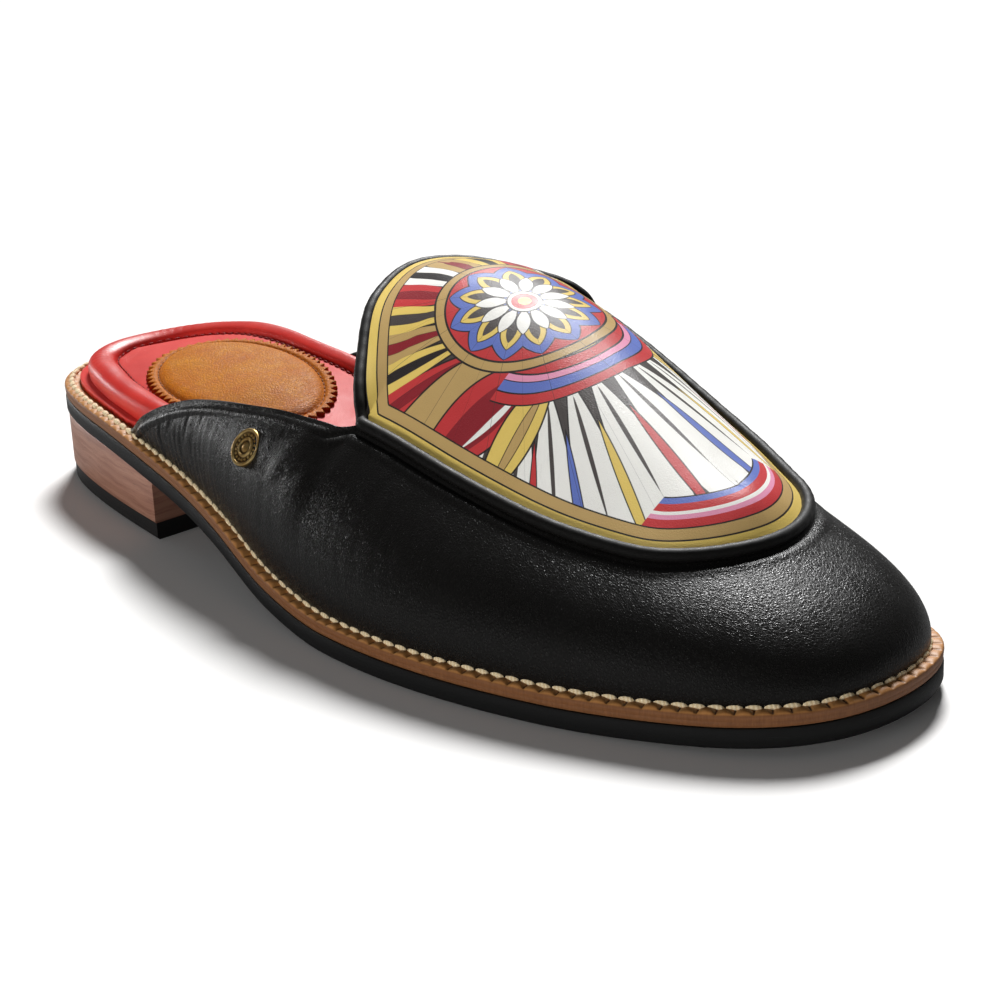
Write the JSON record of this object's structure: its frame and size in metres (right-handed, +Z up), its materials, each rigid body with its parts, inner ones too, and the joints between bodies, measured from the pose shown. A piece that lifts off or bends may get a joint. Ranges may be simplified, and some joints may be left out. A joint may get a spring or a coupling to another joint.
{
  "type": "mule shoe",
  "caption": "Backless leather loafer with a piped plug and tongue, low side wings, padded heel seat, stitched welt and low stacked heel.",
  "frame": {"origin": "centre of the shoe's bounding box at the floor it stands on", "axes": "+X from the heel to the toe, +Y to the inner side of the foot, +Z up from the floor"},
  "size_m": [0.2948, 0.107, 0.0749],
  "materials": {
    "outsole": "matte black rubber",
    "midsole": "tan vegetable-tanned edge",
    "heel_stack": "brown stacked-leather grain, waxed",
    "top_lift": "matte black rubber",
    "insole": "smooth red lining leather",
    "heel_roll": "smooth red lining leather over padding",
    "heel_patch": "ochre leather with a pinked edge",
    "upper": "black grained leather, satin",
    "plug_piping": "smooth black leather, glossy",
    "stud": "polished brass"
  },
  "bodies": {
    "root": {"outsole": "outsole", "midsole": "midsole", "heel_stack": "heel_stack", "top_lift": "top_lift", "insole": "insole", "heel_roll": "heel_roll", "heel_patch": "heel_patch", "upper": "upper", "plug_piping": "plug_piping", "stud": "stud"}
  },
  "joints": []
}
